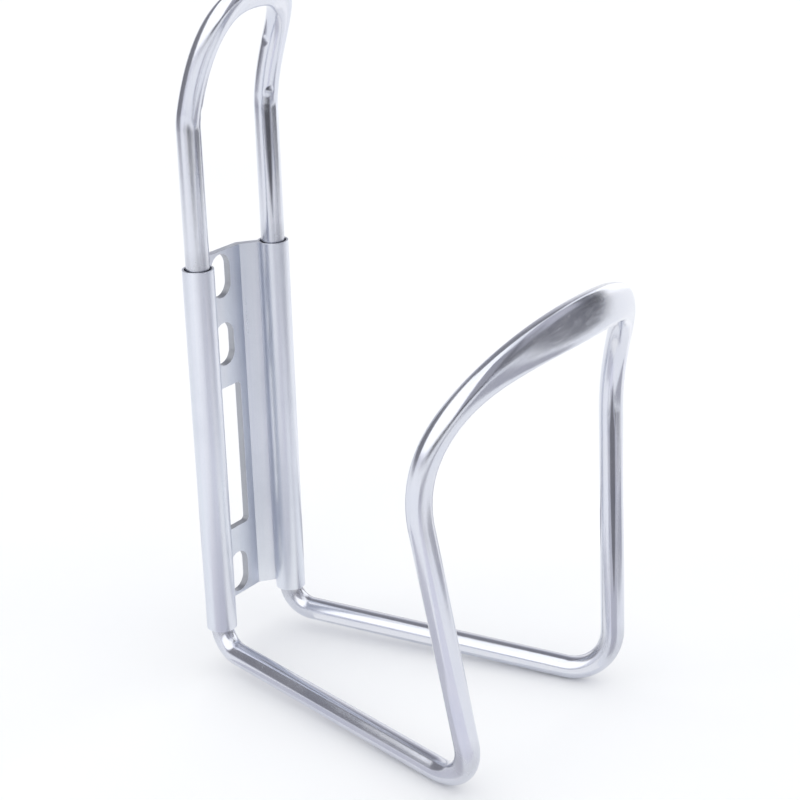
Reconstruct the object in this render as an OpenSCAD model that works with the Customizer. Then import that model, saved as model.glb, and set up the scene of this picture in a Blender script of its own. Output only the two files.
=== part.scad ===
// Bicycle bottle cage. Two bent rods are pressed into an extruded bracket
// that bolts to the frame. +Z is up, +X points from the frame to the bottle.
// The origin lies on the mounting face, midway between the end bolt slots.

/* [Bracket] */
// Length of the bracket's two tubes
bracket_h = 75.8; // [75.4:0.1:77]
// Outside diameter of each tube
tube_od = 6.1; // [5.8:0.1:6.6]
// Distance between the two tube axes
tube_spacing = 22.4; // [22:0.1:24]
// Distance from the mounting face to the tube axes
tube_setback = 5.8; // [5.4:0.1:6.2]
// Thickness of the web between the tubes
web_t = 1.5; // [1.2:0.1:1.8]
// Width of the flat middle of the web
web_flat_w = 12; // [11:0.1:13]
// Angle of the web's folded sides to the mounting face
web_fold_a = 37; // [34:1:40]
// How far the web stops above the lower tube ends
web_trim_low = 1.5; // [1:0.1:2]
// How far the web stops below the upper tube ends
web_trim_top = 0.2; // [0:0.1:0.6]
// Diameter of the recess around the rod at each tube end
mouth_d = 5.3; // [5:0.1:5.5]
// Depth of that recess
mouth_depth = 1.6; // [1:0.1:3]

/* [Bolt slots and window] */
// Width of each bolt slot
slot_w = 5.5; // [5:0.1:6]
// Length of each bolt slot, end to end
slot_len = 8.8; // [7:0.1:9]
// Distance from the lower slot to the top slot
slot_pitch = 64; // [63.5:0.1:64.5]
// Distance from the lower slot to the middle slot
mid_pitch = 50; // [48:0.5:52]
// Height of the lower slot above the lower tube ends
slot_rise = 6.6; // [6.2:0.1:7]
// Height of the window's lower edge above the lower tube ends
window_rise = 16.8; // [14:0.1:18]
// Height of the window
window_h = 30.8; // [20:0.1:32]
// Width of the window
window_w = 7.8; // [6:0.1:9]
// Corner radius of the window
window_r = 1; // [0.5:0.1:2]

/* [Rods] */
// Diameter of both rods
rod_d = 4.6; // [4.4:0.1:4.8]
// Length of each rod end inside its tube
leg_depth = 22; // [12:1:34]

/* [Upper hoop] */
// Height of the straight legs above the tubes
hoop_leg = 28; // [22:0.5:30]
// Angle by which the hoop tips towards the bottle above the legs
hoop_tilt = 11.9; // [6:0.1:14]
// Angle by which each leg turns inwards there
hoop_turn = 3.8; // [2:0.1:6]
// Centreline radius of that bend
hoop_bend_r = 14; // [8:1:18]
// Height of the hoop's tip above the straight legs
hoop_rise = 22.5; // [20:0.1:26]
// How far the tip lies in front of the tube axes
hoop_lean = 9.2; // [8:0.1:11]
// Length over which each leg keeps its own direction
hoop_leg_pull = 12.2; // [9:0.1:15]
// Length over which the tip runs sideways
hoop_tip_pull = 10.9; // [9:0.1:12]
// Thickness of the pressed tip
hoop_tip_t = 3; // [2.4:0.1:3.6]
// Height of the pressed tip
hoop_tip_w = 5.9; // [5:0.1:7]
// Angle by which the pressed face looks down at the bottle
hoop_tip_a = 28; // [15:1:40]

/* [Lower cradle] */
// Drop from the lower tube ends to the rear corners
rear_drop = 4.6; // [4.4:0.1:5]
// Centreline radius of the rear bends
rear_bend_r = 5.2; // [4.6:0.1:5.4]
// Distance from the tube axes to the front corners
base_reach = 70.8; // [66:0.1:74]
// Drop from the lower tube ends to the front corners
front_drop = 7; // [5:0.1:9]
// Distance between the front corners
base_w = 49.4; // [46:0.1:54]
// Centreline radius of the front bends
front_bend_r = 9; // [7:0.1:11]
// Length of each upright from its corner to the front hoop
upright_len = 53.8; // [48:0.1:58]
// Backward lean of each upright, in degrees
upright_back = 6.1; // [3:0.1:9]
// Outward lean of each upright, in degrees
upright_out = 7.6; // [5:0.1:10]
// Distance from the tube axes to the middle of the front hoop
band_reach = 77.2; // [75:0.1:80]
// Height of the front hoop's middle above the lower tube ends
band_height = 76.6; // [72:0.1:80]
// Length over which each upright keeps its own direction
band_side_pull = 19.3; // [15:0.1:22]
// Length over which the hoop's middle runs sideways
band_front_pull = 25; // [20:0.1:28]
// Thickness of the pressed band
band_t = 2.3; // [2:0.1:3]
// Height of the pressed band
band_w = 8; // [6:0.1:9]
// Angle by which the band's outer face looks up
band_a = 7; // [0:1:12]

/* [Hidden] */
$fn = 64;
rod_r = rod_d / 2;
tube_y = tube_spacing / 2;
// height of the lower tube ends, from the slot layout
foot = -slot_pitch / 2 - slot_rise;
head = foot + bracket_h;
sides = 24;      // sides of a swept section
rings = 44;      // sections along half a hoop
bend_steps = 14; // sections along a bend
tip_square = 0.38;  // how square the pressed sections are: 0 oval, 1 a rectangle
band_square = 0.55;
over = 1;        // extra length of a cut
// direction of the folded web and its front and back corners
fold = [sin(web_fold_a), cos(web_fold_a)];
front_y = web_flat_w / 2;
back_y = front_y + web_t * tan(web_fold_a / 2);
fold_len = 4.5;
// corners and directions of the near side of the cradle (-Y side)
rear_corner = [tube_setback, -tube_y, foot - rear_drop];
front_corner = [tube_setback + base_reach, -base_w / 2, foot - front_drop];
base_dir = unit(front_corner - rear_corner);
up_dir = unit([-tan(upright_back), -tan(upright_out), 1]);
band_start = front_corner + upright_len * up_dir;
band_mid = [tube_setback + band_reach, 0, foot + band_height];
// the upper hoop's near side: its bend, its direction above that, and its middle
up = [0, 0, 1];
hoop_corner = [tube_setback, -tube_y, head + hoop_leg];
hoop_dir = unit([tan(hoop_tilt), tan(hoop_turn), 1]);
hoop_start = hoop_corner + (setoff(up, hoop_dir, hoop_bend_r) + 0.5) * hoop_dir;
hoop_mid = [tube_setback + hoop_lean, 0, head + hoop_leg + hoop_rise];

function unit(v) = v / norm(v);
function mirrored(v) = [v[0], -v[1], v[2]];
function angle_of(u, v) = acos(u * v);
// the part of v that lies across d
function across(v, d) = unit(v - (v * d) * d);
// v turned by a degrees about a unit axis
function turned(v, axis, a) =
    v * cos(a) + cross(axis, v) * sin(a) + axis * (axis * v) * (1 - cos(a));
// distance from a corner to where its bend starts
function setoff(u, v, r) = r * tan(angle_of(u, v) / 2);
// smooth step from 0 to 1 between a and b
function ease(a, b, t) = let (s = max(0, min(1, (t - a) / (b - a)))) s * s * (3 - 2 * s);

// half of a hoop: a cubic curve from its leg to its middle, 0 <= t <= 1
function arc_at(a, b, c, d, t) =
    let (s = 1 - t) s*s*s * a + 3*s*s*t * b + 3*s*t*t * c + t*t*t * d;
function arc_dir(a, b, c, d, t) =
    let (s = 1 - t) unit(s*s * (b - a) + 2*s*t * (c - b) + t*t * (d - c));

// one ring of a pressed rod: half thickness a along n, half height b along w
function ring(p, n, w, a, b, squareness) = [
    for (i = [0 : sides - 1])
        let (c = cos(i * 360 / sides), s = sin(i * 360 / sides))
        p + n * a * sign(c) * pow(abs(c), squareness)
          + w * b * sign(s) * pow(abs(s), squareness)
];

// closed solid through a list of rings
module sweep(rs) {
    last = len(rs) - 1;
    polyhedron(
        points = [for (r = rs) each r],
        faces = concat(
            [[for (i = [0 : sides - 1]) i]],
            [for (k = [0 : last - 1], i = [0 : sides - 1])
                let (j = (i + 1) % sides)
                each [[k*sides + i, (k + 1)*sides + i, (k + 1)*sides + j],
                      [k*sides + i, (k + 1)*sides + j, k*sides + j]]],
            [[for (i = [sides - 1 : -1 : 0]) last*sides + i]]
        )
    );
}

// rings of a hoop's near half, from its leg to its middle, which is pressed to t by w
function hoop_rings(start, dir, middle, leg_pull, mid_pull, face, t, w, from, square) =
    let (b = start + leg_pull * dir, c = middle - [0, mid_pull, 0])
    [for (k = [0 : rings])
        let (
            s = k / rings,
            d = arc_dir(start, b, c, middle, s),
            n = across(face, d),
            f = ease(from, 1, s)
        )
        ring(arc_at(start, b, c, middle, s), n, cross(d, n),
             rod_r + (t / 2 - rod_r) * f, rod_r + (w / 2 - rod_r) * f, 1 - square * f)];

// rings of a bend at a corner, from direction u to v, with n across the rod at v
function bend_rings(corner, u, v, r, n) =
    let (
        a = angle_of(u, v),
        x = unit(v - (u * v) * u),
        axis = cross(u, x),
        centre = corner - setoff(u, v, r) * u + r * x
    )
    [for (k = [0 : bend_steps])
        let (t = a * k / bend_steps, m = turned(n, axis, t - a), d = turned(u, axis, t))
        ring(centre - r * turned(x, axis, t), m, cross(d, m), rod_r, rod_r, 1)];

// the whole rod: rings of its near half, then the same mirrored to the far side
module bent_rod(near) {
    far = [for (k = [len(near) - 2 : -1 : 0]) [for (p = near[k]) mirrored(p)]];
    sweep(concat(near, far));
}

module slot(z) {
    reach = slot_len / 2 - slot_w / 2;
    translate([-over, 0, z]) {
        for (side = [-1, 1])
            translate([0, 0, side * reach])
                rotate([0, 90, 0])
                    cylinder(d = slot_w, h = web_t + 2 * over);
        translate([0, -slot_w / 2, -reach])
            cube([web_t + 2 * over, slot_w, 2 * reach]);
    }
}

module window() {
    w = window_w / 2 - window_r;
    h = window_h / 2 - window_r;
    depth = web_t + 2 * over;
    translate([-over, 0, foot + window_rise + window_h / 2]) {
        for (y = [-w, w], z = [-h, h])
            translate([0, y, z])
                rotate([0, 90, 0])
                    cylinder(r = window_r, h = depth);
        translate([0, -window_w / 2, -h]) cube([depth, window_w, 2 * h]);
        translate([0, -w, -window_h / 2]) cube([depth, 2 * w, window_h]);
    }
}

module mounting_bracket() {
    corner = [web_t, front_y];
    tip = corner + fold_len * fold;
    back_tip = tip + web_t * [-fold[1], fold[0]];
    color([0.78, 0.8, 0.84])
    difference() {
        union() {
            translate([0, 0, foot + web_trim_low])
                linear_extrude(height = bracket_h - web_trim_low - web_trim_top)
                    polygon([[0, -back_y], [0, back_y], back_tip, tip, corner,
                             [web_t, -front_y], [tip[0], -tip[1]],
                             [back_tip[0], -back_tip[1]]]);
            for (side = [-1, 1])
                translate([tube_setback, side * tube_y, foot])
                    cylinder(d = tube_od, h = bracket_h);
        }
        for (side = [-1, 1])
            translate([tube_setback, side * tube_y, foot]) {
                translate([0, 0, -over]) cylinder(d = rod_d, h = bracket_h + 2 * over);
                translate([0, 0, -over]) cylinder(d = mouth_d, h = mouth_depth + over);
                translate([0, 0, bracket_h - mouth_depth])
                    cylinder(d = mouth_d, h = mouth_depth + over);
            }
        for (z = [-slot_pitch / 2, mid_pitch - slot_pitch / 2, slot_pitch / 2]) slot(z);
        window();
    }
}

module upper_hoop() {
    face = [cos(hoop_tip_a), 0, -sin(hoop_tip_a)];
    n_top = across(face, hoop_dir);
    n_leg = turned(n_top, unit(cross(up, hoop_dir)), -angle_of(up, hoop_dir));
    color([0.84, 0.85, 0.89])
        bent_rod(concat(
            [ring([tube_setback, -tube_y, head - leg_depth], n_leg, cross(up, n_leg),
                  rod_r, rod_r, 1)],
            bend_rings(hoop_corner, up, hoop_dir, hoop_bend_r, n_top),
            hoop_rings(hoop_start, hoop_dir, hoop_mid, hoop_leg_pull, hoop_tip_pull,
                       face, hoop_tip_t, hoop_tip_w, 0.4, tip_square)));
}

module lower_cradle() {
    down = [0, 0, -1];
    face = [cos(band_a), 0, sin(band_a)];
    // the same side of the rod, followed back from the upright to the leg
    n_up = across(face, up_dir);
    n_base = turned(n_up, unit(cross(base_dir, up_dir)), -angle_of(base_dir, up_dir));
    n_leg = turned(n_base, unit(cross(down, base_dir)), -angle_of(down, base_dir));
    color([0.84, 0.85, 0.89])
        bent_rod(concat(
            [ring([tube_setback, -tube_y, foot + leg_depth], n_leg, cross(down, n_leg),
                  rod_r, rod_r, 1)],
            bend_rings(rear_corner, down, base_dir, rear_bend_r, n_base),
            bend_rings(front_corner, base_dir, up_dir, front_bend_r, n_up),
            hoop_rings(band_start, up_dir, band_mid, band_side_pull, band_front_pull,
                       face, band_t, band_w, 0.35, band_square)));
}

mounting_bracket();
upper_hoop();
lower_cradle();
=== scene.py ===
import bpy, bmesh, math
import numpy as np
from mathutils import Vector, Matrix


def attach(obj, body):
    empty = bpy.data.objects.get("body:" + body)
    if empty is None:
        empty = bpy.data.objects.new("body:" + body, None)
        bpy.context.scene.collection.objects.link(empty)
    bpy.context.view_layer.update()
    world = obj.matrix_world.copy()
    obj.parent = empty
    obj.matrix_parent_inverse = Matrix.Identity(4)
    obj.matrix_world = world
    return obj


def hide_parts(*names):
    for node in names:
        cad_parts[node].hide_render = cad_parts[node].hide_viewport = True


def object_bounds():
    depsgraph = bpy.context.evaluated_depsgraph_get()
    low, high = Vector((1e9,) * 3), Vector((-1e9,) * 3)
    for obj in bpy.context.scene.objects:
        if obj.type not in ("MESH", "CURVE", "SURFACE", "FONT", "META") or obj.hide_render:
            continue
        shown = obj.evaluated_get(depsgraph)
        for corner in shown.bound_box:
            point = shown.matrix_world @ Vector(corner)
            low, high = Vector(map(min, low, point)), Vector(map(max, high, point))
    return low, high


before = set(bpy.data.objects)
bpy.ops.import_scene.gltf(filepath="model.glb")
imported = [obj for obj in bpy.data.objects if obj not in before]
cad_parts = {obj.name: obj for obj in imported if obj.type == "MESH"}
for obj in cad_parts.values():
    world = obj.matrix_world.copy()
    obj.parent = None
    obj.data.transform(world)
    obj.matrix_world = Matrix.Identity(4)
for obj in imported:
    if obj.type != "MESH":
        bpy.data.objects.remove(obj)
cad_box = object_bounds()
scene = bpy.context.scene
MM = 0.001

# ---------------------------------------------------------------- layout, in mm
# The bracket's back lies on x = 0. Its two tubes stand at x = SETBACK, y = TUBE_Y either way.
SETBACK = 5.8
TUBE_Y = 11.2
FOOT = -38.6
HEAD = 37.2
TUBE_R = 3.05
BORE_R = 2.3
MOUTH_R = 2.65
MOUTH_DEPTH = 1.6
ROD_R = 2.3
# how far each rod end goes into its tube
BURIED = 22
# upper hoop: height of the bend above the tubes, its radius, and the tip's rise, reach, thickness and width
KINK_RISE = 28.0
KINK_R = 14.0
TIP_RISE = 22.5
TIP_REACH = 9.2
TIP_T = 3.0
TIP_W = 5.9
# the handles of the hoop's curve at leg and middle, and the share of it after which it is pressed
TIP_PULLS = (12.2, 10.9)
TIP_PRESS = 0.4
# lower cradle: bend radii, length of the upright, and the front band's reach, height, thickness and width
REAR_R = 5.2
FRONT_R = 9.0
UPRIGHT = 53.8
BAND_REACH = 77.2
BAND_RISE = 76.6
BAND_T = 2.3
BAND_W = 8.0
BAND_PULLS = (19.3, 25.0)
BAND_PRESS = 0.35
# how finely the rods are made: sides round a rod, and rings along each hoop's curve
SIDES = 64
RINGS = 110
REAR = np.array([SETBACK, -TUBE_Y, FOOT - 4.6])
FRONT = np.array([SETBACK + 70.8, -24.7, FOOT - 7.0])
Z = np.array([0, 0, 1.0])


def unit(v):
    return v / np.linalg.norm(v)


UP = unit(np.array([-math.tan(math.radians(6.1)), -math.tan(math.radians(7.6)), 1.0]))
BASE = unit(FRONT - REAR)
BAND_START = FRONT + UPRIGHT * UP
BAND_MID = np.array([SETBACK + BAND_REACH, 0, FOOT + BAND_RISE])
HOOP_CORNER = np.array([SETBACK, -TUBE_Y, HEAD + KINK_RISE])
HOOP_DIR = unit(np.array([math.tan(math.radians(11.9)), math.tan(math.radians(3.8)), 1.0]))
HOOP_MID = np.array([SETBACK + TIP_REACH, 0, HEAD + KINK_RISE + TIP_RISE])


def turned(v, axis, a):
    """v turned by the angle a about a unit axis."""
    return v * math.cos(a) + np.cross(axis, v) * math.sin(a) + axis * (axis @ v) * (1 - math.cos(a))


def across(v, d):
    """The unit part of v at right angles to d."""
    return unit(v - (v @ d) * d)


def ease(a, b, t):
    s = max(0.0, min(1.0, (t - a) / (b - a)))
    return s * s * (3 - 2 * s)


def cubic(a, b, c, d, t):
    """Point and direction at t on a cubic curve."""
    s = 1 - t
    return (s**3 * a + 3 * s * s * t * b + 3 * s * t * t * c + t**3 * d,
            unit(s * s * (b - a) + 2 * s * t * (c - b) + t * t * (d - c)))


def hoop_frames(start, d0, mid, leg_pull, mid_pull, face, t, w, begin, steps):
    """(point, direction, across, half thickness, half height, flatness) from leg to middle."""
    b, c = start + leg_pull * d0, mid - np.array([0, mid_pull, 0])
    out = []
    for k in range(steps + 1):
        s = k / steps
        p, d = cubic(start, b, c, mid, s)
        f = ease(begin, 1, s)
        thick = ROD_R + (t / 2 - ROD_R) * f
        high = ROD_R + (w / 2 - ROD_R) * f
        out.append((p, d, across(face, d), thick, high, f))
    return out


def bend_frames(corner, u, v, r, n, steps):
    """The same frames round a bend of radius r from direction u to v; n is across at its end."""
    a = math.acos(u @ v)
    x = unit(v - (u @ v) * u)
    axis = np.cross(u, x)
    centre = corner - r * math.tan(a / 2) * u + r * x
    out = []
    for k in range(steps + 1):
        t = a * k / steps
        d = turned(u, axis, t)
        # the rod draws in by about 1 % halfway round a bend
        high = ROD_R * (1 - 0.012 * math.sin(math.pi * k / steps))
        out.append((centre - r * turned(x, axis, t), d, turned(n, axis, t - a), ROD_R, high, 0.0))
    return out


def straight(a, b, steps):
    """Extra rings between two frames, so bump and wear have vertices to vary over."""
    return [(a[0] + (b[0] - a[0]) * k / steps, b[1], b[2], b[3], b[4], 0.0) for k in range(1, steps)]


def sweep(name, frames, sides, square=0.38, dents=(), seat_z=0.0):
    """Closed tube through frames given for the near side, mirrored to the far side.

    Each vertex carries its place on the rod ("rod": round it and along it, in mm), how far it
    is pressed flat ("pressed") and how close it is to the tube mouth ("seat"). A dent is its
    place, radius and depth, and square is how far a pressed section goes from oval to square."""
    def ring(f, flip):
        p, d, n, a, b, flat = f
        w = np.cross(d, n)
        pts = []
        e = 1 - square * flat
        for i in range(sides):
            th = 2 * math.pi * i / sides
            c, s = math.cos(th), math.sin(th)
            q = p + n * a * math.copysign(abs(c) ** e, c) + w * b * math.copysign(abs(s) ** e, s)
            for at, r, depth in dents:
                q = q + unit(p - q) * depth * math.exp(-(np.linalg.norm(q - at) / r) ** 4)
            pts.append(q * [1, -1, 1] if flip else q)
        return pts
    rings = [ring(f, False) for f in frames] + [ring(f, True) for f in frames[-2::-1]]
    path = [f[0] for f in frames] + [f[0] * [1, -1, 1] for f in frames[-2::-1]]
    flats = [f[5] for f in frames] + [f[5] for f in frames[-2::-1]]
    along = [0.0]
    for a, b in zip(path, path[1:]):
        along.append(along[-1] + np.linalg.norm(b - a))
    bm = bmesh.new()
    vs = [[bm.verts.new(q * MM) for q in r] for r in rings]
    for r0, r1 in zip(vs, vs[1:]):
        for i in range(sides):
            j = (i + 1) % sides
            bm.faces.new((r0[i], r0[j], r1[j], r1[i]))
    bm.faces.new(vs[0][::-1])
    bm.faces.new(vs[-1])
    bmesh.ops.recalc_face_normals(bm, faces=bm.faces)
    me = bpy.data.meshes.new(name)
    bm.to_mesh(me)
    bm.free()
    for f in me.polygons:
        f.use_smooth = True
    turn = [2 * math.pi * i / sides for i in range(sides)]
    place = [(ROD_R * math.cos(t), ROD_R * math.sin(t), l) for l in along for t in turn]
    me.attributes.new("rod", "FLOAT_VECTOR", "POINT").data.foreach_set("vector", np.ravel(place))
    me.attributes.new("pressed", "FLOAT", "POINT").data.foreach_set("value", np.repeat(flats, sides))
    seat = [1 - ease(0, 5, abs(p[2] - seat_z)) for p in path]
    me.attributes.new("seat", "FLOAT", "POINT").data.foreach_set("value", np.repeat(seat, sides))
    ob = bpy.data.objects.new(name, me)
    scene.collection.objects.link(ob)
    return ob


# which way the pressed faces look: the tip's slopes down, the band's slopes up
tip_tilt = math.radians(28)
FACE_TIP = np.array([math.cos(tip_tilt), 0, -math.sin(tip_tilt)])
band_tilt = math.radians(7)
FACE_BAND = np.array([math.cos(band_tilt), 0, math.sin(band_tilt)])

n_top = across(FACE_TIP, HOOP_DIR)
kink = math.acos(HOOP_DIR[2])
n_leg = turned(n_top, unit(np.cross(Z, HOOP_DIR)), -kink)
hoop_start = HOOP_CORNER + (KINK_R * math.tan(kink / 2) + 0.5) * HOOP_DIR
leg_end = (np.array([SETBACK, -TUBE_Y, HEAD - BURIED]), Z, n_leg, ROD_R, ROD_R, 0.0)
kink_part = bend_frames(HOOP_CORNER, Z, HOOP_DIR, KINK_R, n_top, 14)
hoop_curve = hoop_frames(hoop_start, HOOP_DIR, HOOP_MID, *TIP_PULLS, FACE_TIP, TIP_T, TIP_W, TIP_PRESS, RINGS)
# two small marks left by the bending die on each leg: just above the kink, and inside, further up
mark_a = hoop_curve[1][0] + ROD_R * across(np.array([0.80, 0.60, 0]), HOOP_DIR)
mark_b = hoop_curve[34][0] + hoop_curve[34][4] * across(np.array([-0.15, 0.99, 0]), hoop_curve[34][1])
upper_frames = [leg_end] + straight(leg_end, kink_part[0], 24) + kink_part + hoop_curve
die_marks = [(mark_a, 0.8, 0.14), (mark_b, 0.8, 0.12)]
upper = sweep("upper_rod", upper_frames, SIDES, dents=die_marks, seat_z=HEAD)

DOWN = -Z
n_up = across(FACE_BAND, UP)
n_base = turned(n_up, unit(np.cross(BASE, UP)), -math.acos(BASE @ UP))
n_down = turned(n_base, unit(np.cross(DOWN, BASE)), -math.acos(DOWN @ BASE))
low_end = (np.array([SETBACK, -TUBE_Y, FOOT + BURIED]), DOWN, n_down, ROD_R, ROD_R, 0.0)
rear = bend_frames(REAR, DOWN, BASE, REAR_R, n_base, 28)
front = bend_frames(FRONT, BASE, UP, FRONT_R, n_up, 28)
band = hoop_frames(BAND_START, UP, BAND_MID, *BAND_PULLS, FACE_BAND, BAND_T, BAND_W, BAND_PRESS, RINGS)
lower_frames = ([low_end] + straight(low_end, rear[0], 10) + rear + straight(rear[-1], front[0], 30)
                + front + straight(front[-1], band[0], 24) + band)
lower = sweep("lower_rod", lower_frames, SIDES, square=0.55, seat_z=FOOT)


# ---------------------------------------------------------------- bracket
def obj_from(bm, name):
    bmesh.ops.recalc_face_normals(bm, faces=bm.faces)
    me = bpy.data.meshes.new(name)
    bm.to_mesh(me)
    bm.free()
    ob = bpy.data.objects.new(name, me)
    scene.collection.objects.link(ob)
    return ob


def prism(bm, lo, hi):
    """Closed prism between two matching outlines of 3-D points in mm."""
    a = [bm.verts.new([c * MM for c in p]) for p in lo]
    b = [bm.verts.new([c * MM for c in p]) for p in hi]
    for i in range(len(a)):
        j = (i + 1) % len(a)
        bm.faces.new((a[i], a[j], b[j], b[i]))
    bm.faces.new(a[::-1])
    bm.faces.new(b)


def along_z(bm, pts, z0, z1):
    prism(bm, [(x, y, z0) for x, y in pts], [(x, y, z1) for x, y in pts])


def through_web(bm, pts):
    """A cutter that goes right through the web, between the tubes."""
    prism(bm, [(-2.0, y, z) for y, z in pts], [(4.2, y, z) for y, z in pts])


def bake(ob):
    """Make the modifiers' result the object's own mesh."""
    me = bpy.data.meshes.new_from_object(ob.evaluated_get(bpy.context.evaluated_depsgraph_get()))
    ob.modifiers.clear()
    old, ob.data = ob.data, me
    bpy.data.meshes.remove(old)


def combine(ob, bm, operation):
    other = obj_from(bm, "tool")
    m = ob.modifiers.new("combine", "BOOLEAN")
    m.operation, m.solver, m.object = operation, "EXACT", other
    bake(ob)
    bpy.data.objects.remove(other)


def circle(r, cx, cy, n=96):
    turns = [2 * math.pi * i / n for i in range(n)]
    return [(cx + r * math.cos(a), cy + r * math.sin(a)) for a in turns]


def obround(cz, w, l, n=20):
    r, h = w / 2, l / 2 - w / 2
    return ([(r * math.cos(a), cz + h + r * math.sin(a)) for a in np.linspace(0, math.pi, n)]
            + [(r * math.cos(a), cz - h + r * math.sin(a)) for a in np.linspace(math.pi, 2 * math.pi, n)])


def round_rect(cz, w, h, r, n=7):
    out = []
    for sy, sz, a0 in ((1, 1, 0), (-1, 1, 90), (-1, -1, 180), (1, -1, 270)):
        for a in np.linspace(math.radians(a0), math.radians(a0 + 90), n):
            out.append((sy * (w / 2 - r) + r * math.cos(a), cz + sz * (h / 2 - r) + r * math.sin(a)))
    return out


# the web's section: a flat middle, and sides folded forward into the tubes
WEB_T = 1.5
SIDE = 4.5
FRONT_Y = 6.0
fold = math.radians(37)
fx, fy = math.sin(fold), math.cos(fold)
BACK_Y = FRONT_Y + WEB_T * math.tan(fold / 2)
tip = (WEB_T + SIDE * fx, FRONT_Y + SIDE * fy)
back_tip = (tip[0] - WEB_T * fy, tip[1] + WEB_T * fx)
web = [(0, -BACK_Y), (0, BACK_Y), back_tip, tip, (WEB_T, FRONT_Y),
       (WEB_T, -FRONT_Y), (tip[0], -tip[1]), (back_tip[0], -back_tip[1])]
# the web is trimmed a little shorter than the tubes
bm = bmesh.new()
along_z(bm, web, FOOT + 1.5, HEAD - 0.2)
brk = obj_from(bm, "bracket_extrusion")
for s in (-1, 1):
    bm = bmesh.new()
    along_z(bm, circle(TUBE_R, SETBACK, s * TUBE_Y), FOOT, HEAD)
    combine(brk, bm, "UNION")
for s in (-1, 1):
    for r, z0, z1 in ((BORE_R, FOOT - 1, HEAD + 1), (MOUTH_R, FOOT - 1, FOOT + MOUTH_DEPTH),
                      (MOUTH_R, HEAD - MOUTH_DEPTH, HEAD + 1)):
        bm = bmesh.new()
        along_z(bm, circle(r, SETBACK, s * TUBE_Y), z0, z1)
        combine(brk, bm, "DIFFERENCE")
SLOTS_Z = (-32, 18, 32)
SLOT_W = 5.5
SLOT_L = 8.8
WINDOW_FOOT = 16.8
WINDOW_W = 7.8
WINDOW_H = 30.8
window = round_rect(FOOT + WINDOW_FOOT + WINDOW_H / 2, WINDOW_W, WINDOW_H, 1.0)
for pts in [obround(z, SLOT_W, SLOT_L) for z in SLOTS_Z] + [window]:
    bm = bmesh.new()
    through_web(bm, pts)
    combine(brk, bm, "DIFFERENCE")
bev = brk.modifiers.new("edges", "BEVEL")
bev.width = 0.16 * MM
bev.segments = 2
bev.limit_method = "ANGLE"
bev.angle_limit = math.radians(28)
bev.harden_normals = True
for f in brk.data.polygons:
    f.use_smooth = True
bake(brk)
# sheared walls of the slots and window, and sawn ends, are marked for the material, which paints shade on
# those walls
sheared_and_shaded, sawn = [], []
for f in brk.data.polygons:
    c = f.center / MM
    inside = abs(c.y) < 4.3 and -0.1 < c.x < 1.7 and abs(f.normal.x) < 0.8
    sheared_and_shaded.append(1.0 if inside else 0.0)
    sawn.append(1.0 if abs(f.normal.z) > 0.7 and not inside else 0.0)
brk.data.attributes.new("sheared_and_shaded", "FLOAT", "FACE").data.foreach_set("value", sheared_and_shaded)
brk.data.attributes.new("sawn", "FLOAT", "FACE").data.foreach_set("value", sawn)


# ---------------------------------------------------------------- materials
def node_material(name):
    mat = bpy.data.materials.new(name)
    mat.use_nodes = True
    nt = mat.node_tree
    return mat, nt, nt.nodes["Principled BSDF"]


def attribute(nt, name, output):
    """A mesh attribute as a socket."""
    n = nt.nodes.new("ShaderNodeAttribute")
    n.attribute_name = name
    return n.outputs[output]


def stretched(nt, vec, scale, shift=(0, 0, 0)):
    """A vector scaled by axis, so that noise on it runs along one of them."""
    n = nt.nodes.new("ShaderNodeMapping")
    n.inputs["Scale"].default_value = scale
    n.inputs["Location"].default_value = shift
    nt.links.new(vec, n.inputs["Vector"])
    return n.outputs[0]


def noise(nt, vec, scale=1.0, octaves=3.0, gain=0.55):
    n = nt.nodes.new("ShaderNodeTexNoise")
    n.inputs["Scale"].default_value = scale
    n.inputs["Detail"].default_value = octaves
    n.inputs["Roughness"].default_value = gain
    nt.links.new(vec, n.inputs["Vector"])
    return n.outputs[0]


def remap(nt, fac, a, b, lo, hi):
    n = nt.nodes.new("ShaderNodeMapRange")
    for key, v in (("From Min", a), ("From Max", b), ("To Min", lo), ("To Max", hi)):
        n.inputs[key].default_value = v
    nt.links.new(fac, n.inputs["Value"])
    return n.outputs[0]


def calc(nt, op, a, b):
    n = nt.nodes.new("ShaderNodeMath")
    n.operation = op
    for k, v in enumerate((a, b)):
        if isinstance(v, (int, float)):
            n.inputs[k].default_value = v
        else:
            nt.links.new(v, n.inputs[k])
    return n.outputs[0]


def blend(nt, fac, a, b):
    """Colour a to colour b; each is a fixed colour or a socket."""
    n = nt.nodes.new("ShaderNodeMix")
    n.data_type = "RGBA"
    nt.links.new(fac, n.inputs["Factor"])
    for key, v in ((6, a), (7, b)):
        if isinstance(v, tuple):
            n.inputs[key].default_value = v
        else:
            nt.links.new(v, n.inputs[key])
    return n.outputs[2]


def bumped(nt, bsdf, height, mm, strength=1.0):
    n = nt.nodes.new("ShaderNodeBump")
    n.inputs["Distance"].default_value = mm * MM
    n.inputs["Strength"].default_value = strength
    nt.links.new(height, n.inputs["Height"])
    nt.links.new(n.outputs[0], bsdf.inputs["Normal"])


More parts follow.
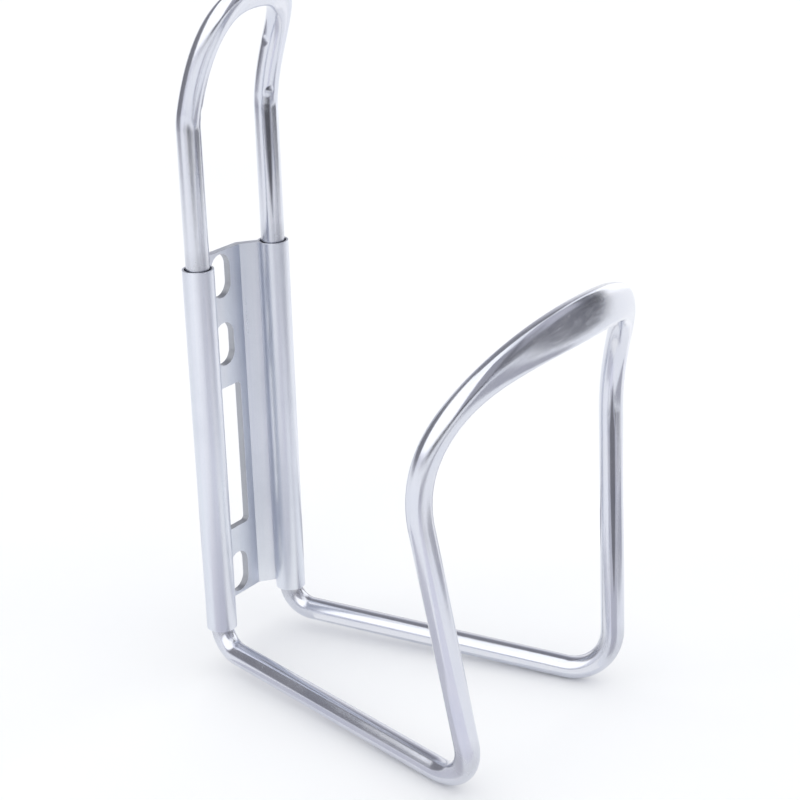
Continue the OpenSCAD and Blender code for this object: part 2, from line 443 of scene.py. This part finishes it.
def polished(name, seed):
    """Drawn and polished aluminium: draw lines along the rod, haze, fine scratches and pits."""
    mat, nt, bsdf = node_material(name)
    place = attribute(nt, "rod", "Vector")
    lines = noise(nt, stretched(nt, place, (3.2, 3.2, 0.035), seed), 1.0, 4.0, 0.6)
    haze = noise(nt, stretched(nt, place, (0.28, 0.28, 0.11), seed), 1.0, 4.0, 0.6)
    fine = noise(nt, stretched(nt, place, (9.0, 9.0, 0.5), seed), 1.0, 2.0, 0.5)
    # a scratch is the thin line where a noise crosses its middle value
    wander = noise(nt, stretched(nt, place, (1.6, 2.3, 0.5), (seed[1], 3.0, seed[0])), 1.0, 1.0, 0.4)
    crossed = remap(nt, wander, 0.495, 0.505, 0.0, 1.0)
    scratch = calc(nt, "MULTIPLY", crossed, remap(nt, crossed, 0.5, 1.0, 1.0, 0.0))
    dots = noise(nt, stretched(nt, place, (2.6, 2.6, 2.6), seed), 1.0, 1.0, 0.3)
    pits = remap(nt, dots, 0.76, 0.82, 0.0, 1.0)
    seat = attribute(nt, "seat", "Fac")
    pressed = attribute(nt, "pressed", "Fac")
    tone = blend(nt, remap(nt, haze, 0.3, 0.7, 0.0, 1.0), (0.675, 0.70, 0.785, 1), (0.735, 0.75, 0.81, 1))
    tone = blend(nt, remap(nt, lines, 0.35, 0.7, 0.0, 0.35), tone, (0.79, 0.80, 0.84, 1))
    # painted shade: the rod's colour is darkened and greyed where it goes into the tube's mouth, where shade
    # falls between rod and tube; the rod is also rougher there
    painted_mouth_shade = calc(nt, "MULTIPLY", seat, remap(nt, haze, 0.3, 0.65, 0.1, 0.45))
    tone = blend(nt, painted_mouth_shade, tone, (0.42, 0.43, 0.46, 1))
    tone = blend(nt, calc(nt, "MULTIPLY", pits, 0.4), tone, (0.38, 0.39, 0.42, 1))
    nt.links.new(tone, bsdf.inputs["Base Color"])
    rough = calc(nt, "ADD", remap(nt, haze, 0.3, 0.7, 0.13, 0.2), remap(nt, lines, 0.3, 0.7, 0.0, 0.035))
    rough = calc(nt, "ADD", rough, calc(nt, "MULTIPLY", scratch, 0.12))
    rough = calc(nt, "ADD", rough, calc(nt, "MULTIPLY", pressed, remap(nt, fine, 0.4, 0.6, 0.0, 0.05)))
    nt.links.new(calc(nt, "ADD", rough, calc(nt, "MULTIPLY", seat, 0.1)), bsdf.inputs["Roughness"])
    bsdf.inputs["Metallic"].default_value = 1.0
    height = calc(nt, "ADD", calc(nt, "MULTIPLY", lines, 0.7), calc(nt, "MULTIPLY", fine, 0.3))
    height = calc(nt, "SUBTRACT", height, calc(nt, "ADD", calc(nt, "MULTIPLY", pits, 0.8),
                                               calc(nt, "MULTIPLY", scratch, 0.3)))
    bumped(nt, bsdf, height, 0.006)
    return mat


def satin(name):
    """Etched extrusion: streaks along Z, a fine grain, rougher sheared walls painted darker as shade inside
    the slots and window, and sawn ends.
    """
    mat, nt, bsdf = node_material(name)
    at = nt.nodes.new("ShaderNodeTexCoord").outputs["Object"]
    streak = noise(nt, stretched(nt, at, (900, 900, 9)), 1.0, 4.0, 0.6)
    broad = noise(nt, stretched(nt, at, (260, 260, 14), (2, 5, 1)), 1.0, 3.0, 0.5)
    cloud = noise(nt, at, 70.0, 4.0, 0.6)
    grain = noise(nt, at, 5200.0, 2.0, 0.6)
    saw = noise(nt, stretched(nt, at, (2600, 220, 400)), 1.0, 3.0, 0.6)
    sheared_and_shaded, sawn = attribute(nt, "sheared_and_shaded", "Fac"), attribute(nt, "sawn", "Fac")
    tone = blend(nt, remap(nt, broad, 0.3, 0.7, 0.0, 1.0), (0.69, 0.71, 0.80, 1), (0.76, 0.805, 0.86, 1))
    tone = blend(nt, remap(nt, streak, 0.35, 0.7, 0.0, 0.6), tone, (0.83, 0.84, 0.90, 1))
    tone = blend(nt, remap(nt, cloud, 0.5, 0.75, 0.0, 0.3), tone, (0.62, 0.66, 0.73, 1))
    tone = blend(nt, remap(nt, grain, 0.55, 0.8, 0.0, 0.35), tone, (0.58, 0.60, 0.65, 1))
    # painted shade: the walls of the slots and window are painted darker, mostly as the shade that falls in
    # these openings, a little as greyer sheared metal
    tone = blend(nt, calc(nt, "MULTIPLY", sheared_and_shaded, 0.75), tone, (0.36, 0.37, 0.40, 1))
    saw_marks = calc(nt, "MULTIPLY", sawn, remap(nt, saw, 0.35, 0.65, 0.1, 0.6))
    tone = blend(nt, saw_marks, tone, (0.5, 0.52, 0.56, 1))
    nt.links.new(tone, bsdf.inputs["Base Color"])
    rough = calc(nt, "ADD", remap(nt, streak, 0.3, 0.7, 0.26, 0.34), remap(nt, cloud, 0.3, 0.7, 0.0, 0.06))
    rough = calc(nt, "ADD", rough, calc(nt, "MULTIPLY", calc(nt, "ADD", sheared_and_shaded, sawn), 0.14))
    nt.links.new(rough, bsdf.inputs["Roughness"])
    bsdf.inputs["Metallic"].default_value = 1.0
    height = calc(nt, "ADD", calc(nt, "MULTIPLY", streak, 0.7), calc(nt, "MULTIPLY", grain, 0.3))
    height = calc(nt, "ADD", height, calc(nt, "MULTIPLY", sawn, saw))
    bumped(nt, bsdf, height, 0.012)
    return mat


upper_alloy = polished("rod_upper_alloy", (3.0, 7.0, 1.0))
lower_alloy = polished("rod_lower_alloy", (8.0, 2.0, 5.0))
for ob, mat, node, slot in ((upper, upper_alloy, "upper_hoop", "rod_upper"),
                            (lower, lower_alloy, "lower_cradle", "rod_lower"),
                            (brk, satin("bracket_alloy"), "mounting_bracket", "bracket")):
    ob.data.materials.clear()
    ob.data.materials.append(mat)
    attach(ob, "root")
    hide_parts(node)

# ---------------------------------------------------------------- floor
lo = cad_box[0]
floor_me = bpy.data.meshes.new("floor")
grid = bmesh.new()
bmesh.ops.create_grid(grid, x_segments=2, y_segments=2, size=3.0)
grid.to_mesh(floor_me)
grid.free()
floor = bpy.data.objects.new("floor", floor_me)
scene.collection.objects.link(floor)
floor.location = (0, 0, lo.z - 0.1 * MM)
floor_mat, floor_nt, floor_bsdf = node_material("floor_pale")
paper = noise(floor_nt, floor_nt.nodes.new("ShaderNodeTexCoord").outputs["Object"], 14.0, 6.0, 0.6)
paper = remap(floor_nt, paper, 0.35, 0.65, 0.0, 1.0)
pale = blend(floor_nt, paper, (0.94, 0.942, 0.948, 1), (0.96, 0.96, 0.958, 1))
floor_nt.links.new(pale, floor_bsdf.inputs["Base Color"])
floor_bsdf.inputs["Roughness"].default_value = 0.8
floor.data.materials.append(floor_mat)

# ---------------------------------------------------------------- light
world = bpy.data.worlds.new("studio")
scene.world = world
world.use_nodes = True
world.node_tree.nodes["Background"].inputs["Color"].default_value = (0.97, 0.98, 1, 1)
world.node_tree.nodes["Background"].inputs["Strength"].default_value = 1.1

# The studio is laid out in its own axes: across (u), towards the camera (v) and up (w), in mm,
# from the floor under the object's middle.
AZ = math.radians(36.53)
ACROSS = np.array([math.cos(AZ), math.sin(AZ), 0])
TOWARDS = np.array([math.sin(AZ), -math.cos(AZ), 0])
MIDDLE = np.array([40.0, 0, lo.z / MM])


def spot(u, v, w):
    return MIDDLE + u * ACROSS + v * TOWARDS + w * Z


def card(name, corners, grey, tint=(1, 1, 1)):
    """A studio card seen only in reflections: corners in studio axes, evenly bright."""
    me = bpy.data.meshes.new(name)
    me.from_pydata([spot(*c) * MM for c in corners], [], [tuple(range(len(corners)))])
    ob = bpy.data.objects.new(name, me)
    scene.collection.objects.link(ob)
    mat = bpy.data.materials.new(name)
    mat.use_nodes = True
    nt = mat.node_tree
    nt.nodes.clear()
    em = nt.nodes.new("ShaderNodeEmission")
    em.inputs["Color"].default_value = (grey * tint[0], grey * tint[1], grey * tint[2], 1)
    out = nt.nodes.new("ShaderNodeOutputMaterial")
    nt.links.new(em.outputs[0], out.inputs["Surface"])
    me.materials.append(mat)
    ob.visible_camera = ob.visible_diffuse = ob.visible_shadow = ob.visible_transmission = False


def wall_front(name, u0, u1, w0, w1, grey, tint=(1, 1, 1), v=400):
    """An upright card across the view, at depth v."""
    card(name, [(u0, v, w0), (u1, v, w0), (u1, v, w1), (u0, v, w1)], grey, tint)


def wall_side(name, v0, v1, w0, w1, grey, tint=(1, 1, 1), u=430):
    """An upright card along the view, at u."""
    card(name, [(u, v0, w0), (u, v1, w0), (u, v1, w1), (u, v0, w1)], grey, tint)


def on_floor(name, u0, u1, v0, v1, grey, tint=(1, 1, 1), w=1):
    """A level card, at height w."""
    card(name, [(u0, v0, w), (u1, v0, w), (u1, v1, w), (u0, v1, w)], grey, tint)


LILAC = (0.97, 0.97, 1.06)
# key light: a large white diffuser from the camera's left round to its front
wall_front("key_front", -420, 70, 85, 700, 1.5)
card("key_left", [(-420, 110, 110), (-420, 420, 100), (-420, 420, 700), (-420, -230, 700),
                  (-420, 0, 330)], 1.45)
card("key_top", [(-420, 420, 700), (150, 420, 700), (60, 40, 700), (-180, -120, 700),
                 (-420, -230, 700)], 1.35)
# the room round it
wall_front("gap_front", -120, 430, -1, 62, 0.09, LILAC)
wall_front("gap_front_left", -420, -120, -1, 50, 0.5, LILAC)
wall_front("front_right", 95, 430, 62, 700, 0.42, LILAC)
wall_front("front_edge", 70, 95, 62, 700, 0.9, LILAC)
wall_side("right_front", 230, 420, 30, 430, 0.22, LILAC)
wall_side("right_streak", 280, 400, -1, 30, 0.9, LILAC)
wall_side("right_low", -100, 280, -1, 75, 0.22, LILAC)
wall_side("right_corner", -210, -100, -1, 75, 0.12, LILAC)
wall_side("right_near", 90, 230, 75, 260, 0.42, LILAC)
wall_side("right_middle", -70, 90, 75, 260, 0.62, LILAC)
wall_side("right_far", -210, -70, 75, 330, 0.2, LILAC)
wall_side("right_upper", -70, 420, 260, 700, 0.6, LILAC)
wall_side("right_white", -430, -210, -1, 330, 1.5)
wall_side("left_dark", -430, 90, 40, 700, 0.25, LILAC, u=-423)
wall_side("left_low", -430, 90, -1, 40, 0.55, LILAC, u=-422)
wall_side("left_rim", 90, 420, 30, 110, 0.8, LILAC, u=-422)
wall_front("back_top", -430, 260, 450, 700, 0.26, LILAC, v=-430)
wall_front("back_upper", -430, 260, 330, 450, 0.42, LILAC, v=-430)
wall_front("back_middle", -430, 190, 200, 330, 0.62, LILAC, v=-429)
wall_front("back_low", -430, 190, 60, 200, 1.0, v=-429)
wall_front("back_white", 190, 430, -1, 330, 1.4, v=-428)
on_floor("ceiling_back", -430, 430, -430, -120, 0.26, LILAC, w=698)
# the floor as the rods see it: dark at the front and far right, bright between the wires
on_floor("floor_front", -60, 125, 345, 421, 0.4, LILAC)
on_floor("floor_right", 350, 430, -210, 421, 0.22, LILAC)
on_floor("floor_right_near", 120, 250, -20, 180, 0.5, LILAC)
on_floor("floor_near", -15, 30, 50, 200, 0.88, LILAC)
card("floor_inside", [(-28, -14, 0.5), (14, 34, 0.5), (42, 5, 0.5), (-17, -25, 0.5)], 1.02)
card("floor_left", [(-37, -8, 0.5), (11, 44, 0.5), (-37, 88, 0.5), (-85, 36, 0.5)], 0.68, LILAC)
on_floor("floor_web", 10, 180, -110, -62, 1.15)
wall_front("back_sill", -70, 70, -1, 10, 0.5, LILAC, v=-60)
# small flags that draw the dark line down the far leg and the far upright
wall_front("flag_low", -10, 140, -1, 20, 0.45, LILAC, v=150)


def leaf(name, u, v, rows, grey):
    """A narrow flag that tapers to points, given by rows of height and half width.

    u and v each hold the place at the floor and how much it moves for each mm of height."""
    left = [(u[0] + u[1] * w - h, v[0] + v[1] * w, w) for w, h in rows]
    right = [(u[0] + u[1] * w + h, v[0] + v[1] * w, w) for w, h in reversed(rows)]
    card(name, left + right, grey, LILAC)


leaf("flag_leg_soft", (-19.3, 0), (-22, 0), [(88, 0.1), (96, 2.6), (102, 4.2), (110.5, 5.2)], 0.42)
leaf("flag_leg", (-19.3, 0), (-22.1, 0), [(91, 0.1), (96, 1.3), (102, 2.5), (110.5, 3.0)], 0.11)
leaf("flag_upright_soft", (45.1, -0.022), (8.3, -0.172),
     [(3, 2.4), (20, 3.0), (35, 4.2), (50, 4.4), (60, 0.1)], 0.6)
leaf("flag_upright", (45.1, -0.022), (8.2, -0.172),
     [(19, 0.1), (28, 1.3), (40, 2.1), (52, 2.2), (59, 0.1)], 0.2)

# ---------------------------------------------------------------- camera
EL = math.radians(23.07)
ROLL = math.radians(-1.65)
DISTANCE = 362.4
back = Vector((math.sin(AZ) * math.cos(EL), -math.cos(AZ) * math.cos(EL), math.sin(EL)))
target = Vector((35.0 + SETBACK, 0, 40.0 + FOOT)) * MM
cam_data = bpy.data.cameras.new("camera")
cam = bpy.data.objects.new("camera", cam_data)
scene.collection.objects.link(cam)
cam_data.sensor_width = 36.0
cam_data.lens = 85.8267
cam_data.shift_x = 0.014675
cam_data.shift_y = 0.0785625
fwd = -back
right = fwd.cross(Vector((0, 0, 1))).normalized()
upv = right.cross(fwd)
c, s = math.cos(ROLL), math.sin(ROLL)
rolled_right = c * right + s * upv
rolled_up = -s * right + c * upv
turn = Matrix((rolled_right, rolled_up, back)).transposed().to_4x4()
cam.matrix_world = Matrix.Translation(target + back * (DISTANCE * MM)) @ turn
cam_data.clip_start, cam_data.clip_end = 0.01, 20
scene.camera = cam
scene.view_settings.view_transform = "Standard"
